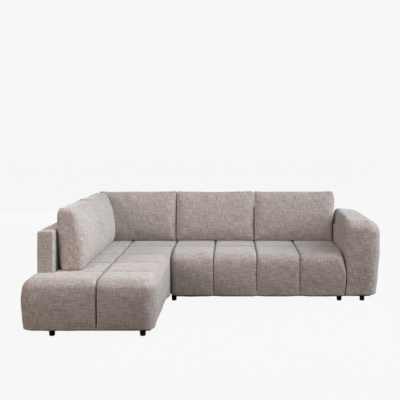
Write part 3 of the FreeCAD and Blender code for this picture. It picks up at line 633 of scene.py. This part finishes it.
# Sewing thread and staples: a lockstitch of polyester thread, half sunk in the bottom of every quilted channel,
# and wire staples shot in round the edge of each dust cover, one after another along each run. The thread is
# coloured darker than the cloth, partly as painted shade for the dark line at the bottom of each channel.
def set_along(name, runs, pitch, size, round_wire, material):
    """Plain mesh of small pieces, each of the given size, set at even steps along every run of points."""
    line = bpy.data.curves.new(name + "_line", "CURVE")
    line.dimensions = "3D"
    for run in runs:
        spline = line.splines.new("POLY")
        spline.points.add(len(run) - 1)
        spline.points.foreach_set("co", np.concatenate([run, np.ones((len(run), 1))], 1).reshape(-1))
    holder = bpy.data.objects.new(name, line)
    scene.collection.objects.link(holder)
    tree = bpy.data.node_groups.new(name + "_steps", "GeometryNodeTree")
    tree.interface.new_socket("Line", in_out="INPUT", socket_type="NodeSocketGeometry")
    step = tree.interface.new_socket("Step", in_out="INPUT", socket_type="NodeSocketFloat")
    shape = tree.interface.new_socket("Size", in_out="INPUT", socket_type="NodeSocketVector")
    tree.interface.new_socket("Pieces", in_out="OUTPUT", socket_type="NodeSocketGeometry")
    nodes, links = tree.nodes, tree.links
    given = nodes.new("NodeGroupInput")
    steps = nodes.new("GeometryNodeCurveToPoints")
    steps.mode = "LENGTH"
    if round_wire:
        unit = nodes.new("GeometryNodeMeshUVSphere")
        unit.inputs["Segments"].default_value = 5
        unit.inputs["Rings"].default_value = 4
        unit.inputs["Radius"].default_value = 0.5
    else:
        unit = nodes.new("GeometryNodeMeshCube")
    scaled = nodes.new("GeometryNodeTransform")
    turned = nodes.new("FunctionNodeAlignRotationToVector")
    turned.axis = "X"
    placed = nodes.new("GeometryNodeInstanceOnPoints")
    real = nodes.new("GeometryNodeRealizeInstances")
    painted = nodes.new("GeometryNodeSetMaterial")
    painted.inputs["Material"].default_value = material
    result = nodes.new("NodeGroupOutput")
    links.new(given.outputs["Line"], steps.inputs["Curve"])
    links.new(given.outputs["Step"], steps.inputs["Length"])
    links.new(unit.outputs["Mesh"], scaled.inputs["Geometry"])
    links.new(given.outputs["Size"], scaled.inputs["Scale"])
    links.new(steps.outputs["Points"], placed.inputs["Points"])
    links.new(steps.outputs["Tangent"], turned.inputs["Vector"])
    links.new(turned.outputs["Rotation"], placed.inputs["Rotation"])
    links.new(scaled.outputs["Geometry"], placed.inputs["Instance"])
    links.new(placed.outputs["Instances"], real.inputs["Geometry"])
    links.new(real.outputs["Geometry"], painted.inputs["Geometry"])
    links.new(painted.outputs["Geometry"], result.inputs["Pieces"])
    setting = holder.modifiers.new("steps", "NODES")
    setting.node_group = tree
    setting[step.identifier] = pitch
    setting[shape.identifier] = size
    holder.update_tag()
    mesh = bpy.data.meshes.new_from_object(holder.evaluated_get(bpy.context.evaluated_depsgraph_get()))
    bpy.data.objects.remove(holder)
    mesh.name = name
    piece = bpy.data.objects.new(name, mesh)
    scene.collection.objects.link(piece)
    return piece


def read_back(rows, field):
    """What a mesh holds for each point, three numbers each."""
    values = np.zeros(len(rows) * 3, np.float32)
    rows.foreach_get(field, values)
    return values.reshape(-1, 3).astype(float)


thread_rise = 0.0004
lowest_stitch = 0.11


def channel_runs(piece, flat_points, across, along, front, rear):
    """Runs of points down the bottom of each sewn channel of a quilted seat, over its top and its front."""
    facing = read_back(piece.data.vertex_normals, "vector")
    lifted = read_back(piece.data.vertices, "co") + facing * thread_rise
    on_top = flat_points[:, 2] > seat_top - rounding
    on_front = flat_points[:, 1] < flat_points[:, 1].min() + rounding
    runs = []
    for channel in across:
        on = (np.abs(flat_points[:, 0] - channel) < 1e-5) & (facing[:, 2] > -0.5) & (flat_points[:, 1] < rear)
        run = lifted[on & (on_top | on_front)]
        run = run[run[:, 2] > lowest_stitch]
        runs.append(run[np.argsort(run[:, 1] + (run[:, 1] < front) * (run[:, 2] - seat_top))])
    for channel, (left, right) in along:
        on = (np.abs(flat_points[:, 1] - channel) < 1e-5) & on_top & (facing[:, 2] > 0.3)
        run = lifted[on & (flat_points[:, 0] > left) & (flat_points[:, 0] < right)]
        runs.append(run[np.argsort(run[:, 0])])
    return [run for run in runs if len(run) > 3]


thread = plain_skin("sewing_thread_darkened_as_painted_shade", 0.75)
# Real sewing thread, but its dark taupe is partly painted shade: darker than the cloth, so that each channel
# bottom shows a dark line.
two_tones(thread, noise_height(thread, 900), (0.13, 0.105, 0.09), (0.24, 0.20, 0.175))
staple_wire = plain_skin("staple_wire", 0.35, 1.0)
two_tones(staple_wire, noise_height(staple_wire, 500), (0.45, 0.45, 0.46), (0.75, 0.75, 0.76))
stitch_step, stitch_size = 0.0075, (0.0056, 0.0013, 0.0013)
staple_step, staple_size = 0.045, (0.0105, 0.0012, 0.0006)
staple_inset = 0.010
staple_corner = 0.03
chaise_runs = channel_runs(chaise_seat, chaise_flat, [column_channel],
                           [(channel, (panel_high.x + 0.02, -0.53)) for channel in cross_channels], -0.95, 0.90)
main_runs = channel_runs(main_seat, main_flat, main_stops[1:-1],
                         [(row_channel, (main_stops[0] + 0.03, main_stops[-1] - 0.03))], 0.10, 0.90)
staple_runs = []
for low, high in ((chaise_dust_low, chaise_dust_high), (main_dust_low, main_dust_high)):
    left, right = low.x + staple_inset, high.x - staple_inset
    front, rear, down = low.y + staple_inset, high.y - staple_inset, low.z - thread_rise
    staple_runs += [np.array([(left, y, down), (right, y, down)]) for y in (front, rear)]
    staple_runs += [np.array([(x, front + staple_corner, down), (x, rear - staple_corner, down)])
                    for x in (left, right)]
for name, runs, step, size, round_wire, material, slot in (
        ("chaise_stitches", chaise_runs, stitch_step, stitch_size, True, thread, "upholstery"),
        ("main_stitches", main_runs, stitch_step, stitch_size, True, thread, "upholstery"),
        ("dust_cover_staples", staple_runs, staple_step, staple_size, False, staple_wire, "steel")):
    piece = set_along(name, runs, step, size, round_wire, material)
    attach(piece, "sofa")


# Panels: the wall beside the chaise and the two back panels, timber frames under a thin wadding and the same
# cloth, pulled round the edges and sewn at the corners.
def panel(name, seed):
    """One panel, as large as its cover."""
    low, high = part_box(name + "_cover")
    xs = grid_lines(with_hem([low.x, high.x], hem_x), step=0.016, fine=0.003)
    ys = grid_lines(with_hem([low.y, high.y], hem_y), step=0.016, fine=0.003)
    zs = grid_lines([low.z, high.z], step=0.016, fine=0.003)
    box, faces, cloth = box_shell(xs, ys, zs)
    points = rounded(box, (0.012, 0.012, 0.006), (0.012, 0.012, 0.014))
    normals = outward(points, faces)
    shift = 0.0015 * uneven(box, 0.20, seed) + 0.0007 * uneven(box, 0.05, seed + 1) - 0.0012
    points = points + normals * shift[:, None]
    piece = soft_piece(name, hem_raised(points, box), faces, cloth)
    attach(piece, "sofa")
    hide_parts(name + "_cover")


panel("side_panel", 31)
panel("chaise_back", 33)
panel("main_back", 35)


# Arm: a timber frame under thick foam and cloth, pillow-like, with one shallow crease across the top where
# the cover is pulled down.
arm_low, arm_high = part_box("arm_cover")
arm_crease = 0.405
tuck_height = arm_high.z - 0.13
xs = grid_lines(with_hem([arm_low.x, arm_high.x], hem_x), step=0.012, fine=0.006)
ys = grid_lines(with_hem([arm_low.y, arm_crease, arm_high.y], hem_y), step=0.012, fine=0.003)
zs = grid_lines([arm_low.z, arm_high.z], step=0.012, fine=0.006)
box, faces, cloth = box_shell(xs, ys, zs)
to_outer = smooth_step(box[:, 0], arm_low.x + 0.05, arm_high.x - 0.05)
top = 0.090 + 0.035 * to_outer
inner = 0.020 + 0.034 * smooth_step(box[:, 2], 0.40, 0.66)
front = 0.088 - 0.066 * smooth_step(-box[:, 0], -arm_low.x - 0.12, -arm_low.x - 0.05) * (
    1 - smooth_step(box[:, 2], 0.40, 0.62))
rear = 0.028 + 0.052 * to_outer
points = rounded(box, (inner, front, hem_radius), (0.125, rear, top))
normals = outward(points, faces)
upper = smooth_step(points[:, 2], arm_high.z - 0.22, arm_high.z - 0.08)
crease = drawn_in(np.abs(box[:, 1] - arm_crease), 0.035) * upper
shift = -0.007 * crease
shift += 0.004 * crowned(box[:, 1], [arm_low.y, arm_crease, arm_high.y]) * upper
shift += 0.003 * uneven(box, 0.18, 41) + 0.0012 * uneven(box, 0.06, 42) - 0.003
points = points + normals * shift[:, None]
drop = toward_hem(points, tuck_height, arm_low.z)
points[:, 0] -= 0.034 * drop * smooth_step(points[:, 0], arm_low.x + 0.02, arm_high.x - 0.04)
points[:, 1] += tuck_under * drop * smooth_step(-points[:, 1], -0.25, -0.03)
lean = 0.034 * smooth_step(points[:, 2], 0.50, 0.68) * smooth_step(points[:, 1], 0.00, 0.60)
lean += 0.006 * smooth_step(points[:, 1], 0.64, 0.72) * smooth_step(points[:, 2], 0.39, 0.44)
points[:, 0] += (arm_bulge(points) + lean) * (1 - smooth_step(points[:, 0], arm_low.x + 0.03, arm_low.x + 0.16))
board_low, board_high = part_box("arm_top_board")
beside_board = (box[:, 0] < board_low.x) & (points[:, 1] > board_low.y - 0.006)
beside_board &= points[:, 2] < board_high.z + 0.01
points[beside_board, 0] = np.minimum(points[beside_board, 0], board_low.x - cloth_gap)
arm = soft_piece("arm", hem_raised(points, box), faces, cloth)
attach(arm, "sofa")
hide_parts("arm_cover", "arm_foam")


# Loose cushions: three along the back and two along the side panel, each a cover of two faces and a border
# sewn together all round, with a soft filling, thick at the bottom and thin at the top. They lean on the panels.
cushion_bottom = 0.4403
cushion_height = 0.4997
cushion_slack = 0.009
swell_limit = 0.024
swell_share = (0.30, 1.0, 0.30)
filling_steps = 20
seam_depth = 0.0030
seam_spread = 0.0035


def cushion_form(width, reach, corner, seed):
    """A cushion before it is filled, in its own place: x across from its middle, y from its back at 0 to its
    front at -reach, z up from its bottom."""
    half = width / 2
    sides = ([-half, half], [-reach, 0.0], [0.0, cushion_height])
    box, faces, cloth = box_shell(*(grid_lines(side, step=0.017, fine=0.006) for side in sides))
    points = rounded(box, (corner, 1.2 * corner, 0.020), (corner, 0.026, corner))
    share = points[:, 2] / cushion_height
    depth = -points[:, 1] / reach
    back = np.interp(share, [0, 0.08, 0.30, 0.60, 0.80, 1.0], [0.036, 0.027, 0.018, 0.005, 0.001, 0.002])
    front = reach * np.interp(share, [0, 0.08, 0.30, 0.45, 0.60, 0.70, 0.80, 0.90, 1.0],
                              [0.97, 0.99, 1.0, 0.97, 0.91, 0.85, 0.77, 0.69, 0.60])
    points[:, 1] = -(back + (front - back) * depth)
    belly = (1 - (points[:, 0] / half) ** 2) * np.sin(np.pi * np.clip(share, 0, 1)) ** 0.7
    points[:, 1] -= 0.010 * belly * depth
    points[:, 2] += 0.006 * depth * (points[:, 0] / half) ** 4 * smooth_step(share, 0.90, 1.0)
    slack = cushion_slack * (1 + 0.35 * uneven(box, 0.22, seed))
    points -= outward(points, faces) * slack[:, None]
    return points, faces, cloth, box


def filled(forms):
    """Blows every cushion up like a filled cover, all in one run, and keeps each point near where it began."""
    covers = []
    for points, faces, cloth, box in forms:
        mesh = bpy.data.meshes.new("cover_being_filled")
        mesh.from_pydata(points.tolist(), [], faces.tolist())
        cover = bpy.data.objects.new("cover_being_filled", mesh)
        scene.collection.objects.link(cover)
        sewn = cover.modifiers.new("filling", "CLOTH")
        sewn.settings.quality = 4
        sewn.settings.mass = 0.3
        sewn.settings.tension_stiffness = 12
        sewn.settings.compression_stiffness = 12
        sewn.settings.shear_stiffness = 4
        sewn.settings.bending_stiffness = 0.4
        sewn.settings.use_pressure = True
        sewn.settings.uniform_pressure_force = 4.5
        sewn.settings.effector_weights.gravity = 0
        sewn.collision_settings.use_collision = False
        covers.append(cover)
    for moment in range(1, filling_steps + 1):
        scene.frame_set(moment)
    graph = bpy.context.evaluated_depsgraph_get()
    result = []
    for cover, (points, faces, cloth, box) in zip(covers, forms):
        moved = read_back(cover.evaluated_get(graph).data.vertices, "co") - points
        length = np.linalg.norm(moved, axis=1, keepdims=True)
        soft = swell_limit * np.tanh(length / swell_limit)
        result.append(points + moved * soft / np.maximum(length, 1e-9) * swell_share)
    for cover in covers:
        bpy.data.objects.remove(cover)
    scene.frame_set(1)
    return result


def held_inside(values, limit, ease=0.010):
    """Values that come near a limit flatten against it, as cloth does against what it rests on."""
    over = np.clip((values - (limit - ease)) / ease, 0, None)
    return np.where(over > 0, limit - ease + ease * np.tanh(over), values)


def cushion(name, points, faces, cloth, box, width, reach, bulge_right, place):
    """Finishes one filled cushion: flat where it rests, smooth, and drawn in along its sewn edges."""
    half = width / 2
    points = points * ((half + 0.006) / np.abs(points[:, 0]).max(), reach / np.abs(points[:, 1]).max(), 1)
    bottom, top = points[:, 2].min(), points[:, 2].max()
    points[:, 2] = (points[:, 2] - bottom) / (top - bottom) * (cushion_height + 0.003) - 0.006
    over_arm = np.exp(-((points[:, 2] / cushion_height - 0.80) / 0.20) ** 2)
    points[:, 0] += bulge_right * over_arm * smooth_step(points[:, 0], half - 0.20, half - 0.01)
    points[:, 0] = held_inside(points[:, 0], half + bulge_right - 0.001)
    points[:, 0] = -held_inside(-points[:, 0], half - 0.001)
    points[:, 1] = held_inside(points[:, 1], -0.0002)
    points[:, 2] = -held_inside(-points[:, 2], 0.0)
    points[:, 2] = held_inside(points[:, 2], cushion_height + 0.006)
    rough = cloth_mesh(name, points, faces, cloth)
    flat_place = rough.attributes.new("flat_place", "FLOAT_VECTOR", "POINT")
    flat_place.data.foreach_set("vector", box.reshape(-1).astype(np.float32))
    piece = bpy.data.objects.new(name, rough)
    scene.collection.objects.link(piece)
    smooth = piece.modifiers.new("smooth", "SUBSURF")
    smooth.levels = smooth.render_levels = 1
    fine = bpy.data.meshes.new_from_object(piece.evaluated_get(bpy.context.evaluated_depsgraph_get()))
    piece.modifiers.clear()
    piece.data = fine
    fine.name = name
    points = read_back(fine.vertices, "co")
    box = read_back(fine.attributes["flat_place"].data, "vector")
    normals = read_back(fine.vertex_normals, "vector")
    inward = np.min(np.stack([box[:, 0] + half, half - box[:, 0], box[:, 2], cushion_height - box[:, 2]]), 0)
    to_front_seam = box[:, 1] + reach + inward
    to_back_seam = -box[:, 1] + inward
    to_seam = np.clip(np.minimum(to_front_seam, to_back_seam), 0, None)
    groove = np.exp(-(to_seam / seam_spread) ** 2)
    ripple = uneven(box, 0.020, len(name)) * np.exp(-to_seam / 0.020) * (1 - groove)
    shift = -seam_depth * groove + 0.0016 * ripple + 0.0009 * uneven(box, 0.045, 3)
    at_rest = (box[:, 2] < 0.001) | (box[:, 1] > -0.001)
    shift = np.where(at_rest, np.minimum(shift, 0), shift)
    points += normals * shift[:, None]
    points = place(points)
    fine.vertices.foreach_set("co", points.reshape(-1).astype(np.float32))
    fine.attributes.remove(fine.attributes["flat_place"])
    fine.shade_smooth()
    fine.materials.append(cloth_material)
    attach(piece, name)
    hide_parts(name + "_cover", name + "_filling")


# Each size is the width, how far the cushion reaches forward, and the radius of its corners.
rear_size = (0.794, 0.192, 0.032)
side_size = (0.725, 0.242, 0.056)
rear_panel_face, side_panel_face = 0.9347, -1.294
kinds = [("rear_cushion_1", rear_size, 0.0, 51), ("rear_cushion_2", rear_size, 0.0, 53),
         ("rear_cushion_3", rear_size, 0.030, 55), ("side_cushion_1", side_size, 0.0, 57),
         ("side_cushion_2", side_size, 0.0, 59)]
forms = [cushion_form(*size, seed) for name, size, bulge, seed in kinds]
shapes = filled(forms)
for (name, (width, reach, corner), bulge, seed), (_, faces, cloth, box), points in zip(kinds, forms, shapes):
    low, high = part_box(name + "_cover")
    if name.startswith("rear"):
        middle = (low.x + high.x) / 2
        cushion(name, points, faces, cloth, box, width, reach, bulge,
                lambda p: p + (middle, rear_panel_face, cushion_bottom))
    else:
        middle = (low.y + high.y) / 2
        cushion(name, points, faces, cloth, box, width, reach, bulge,
                lambda p: np.stack([-p[:, 1] + side_panel_face, p[:, 0] + middle, p[:, 2] + cushion_bottom], 1))
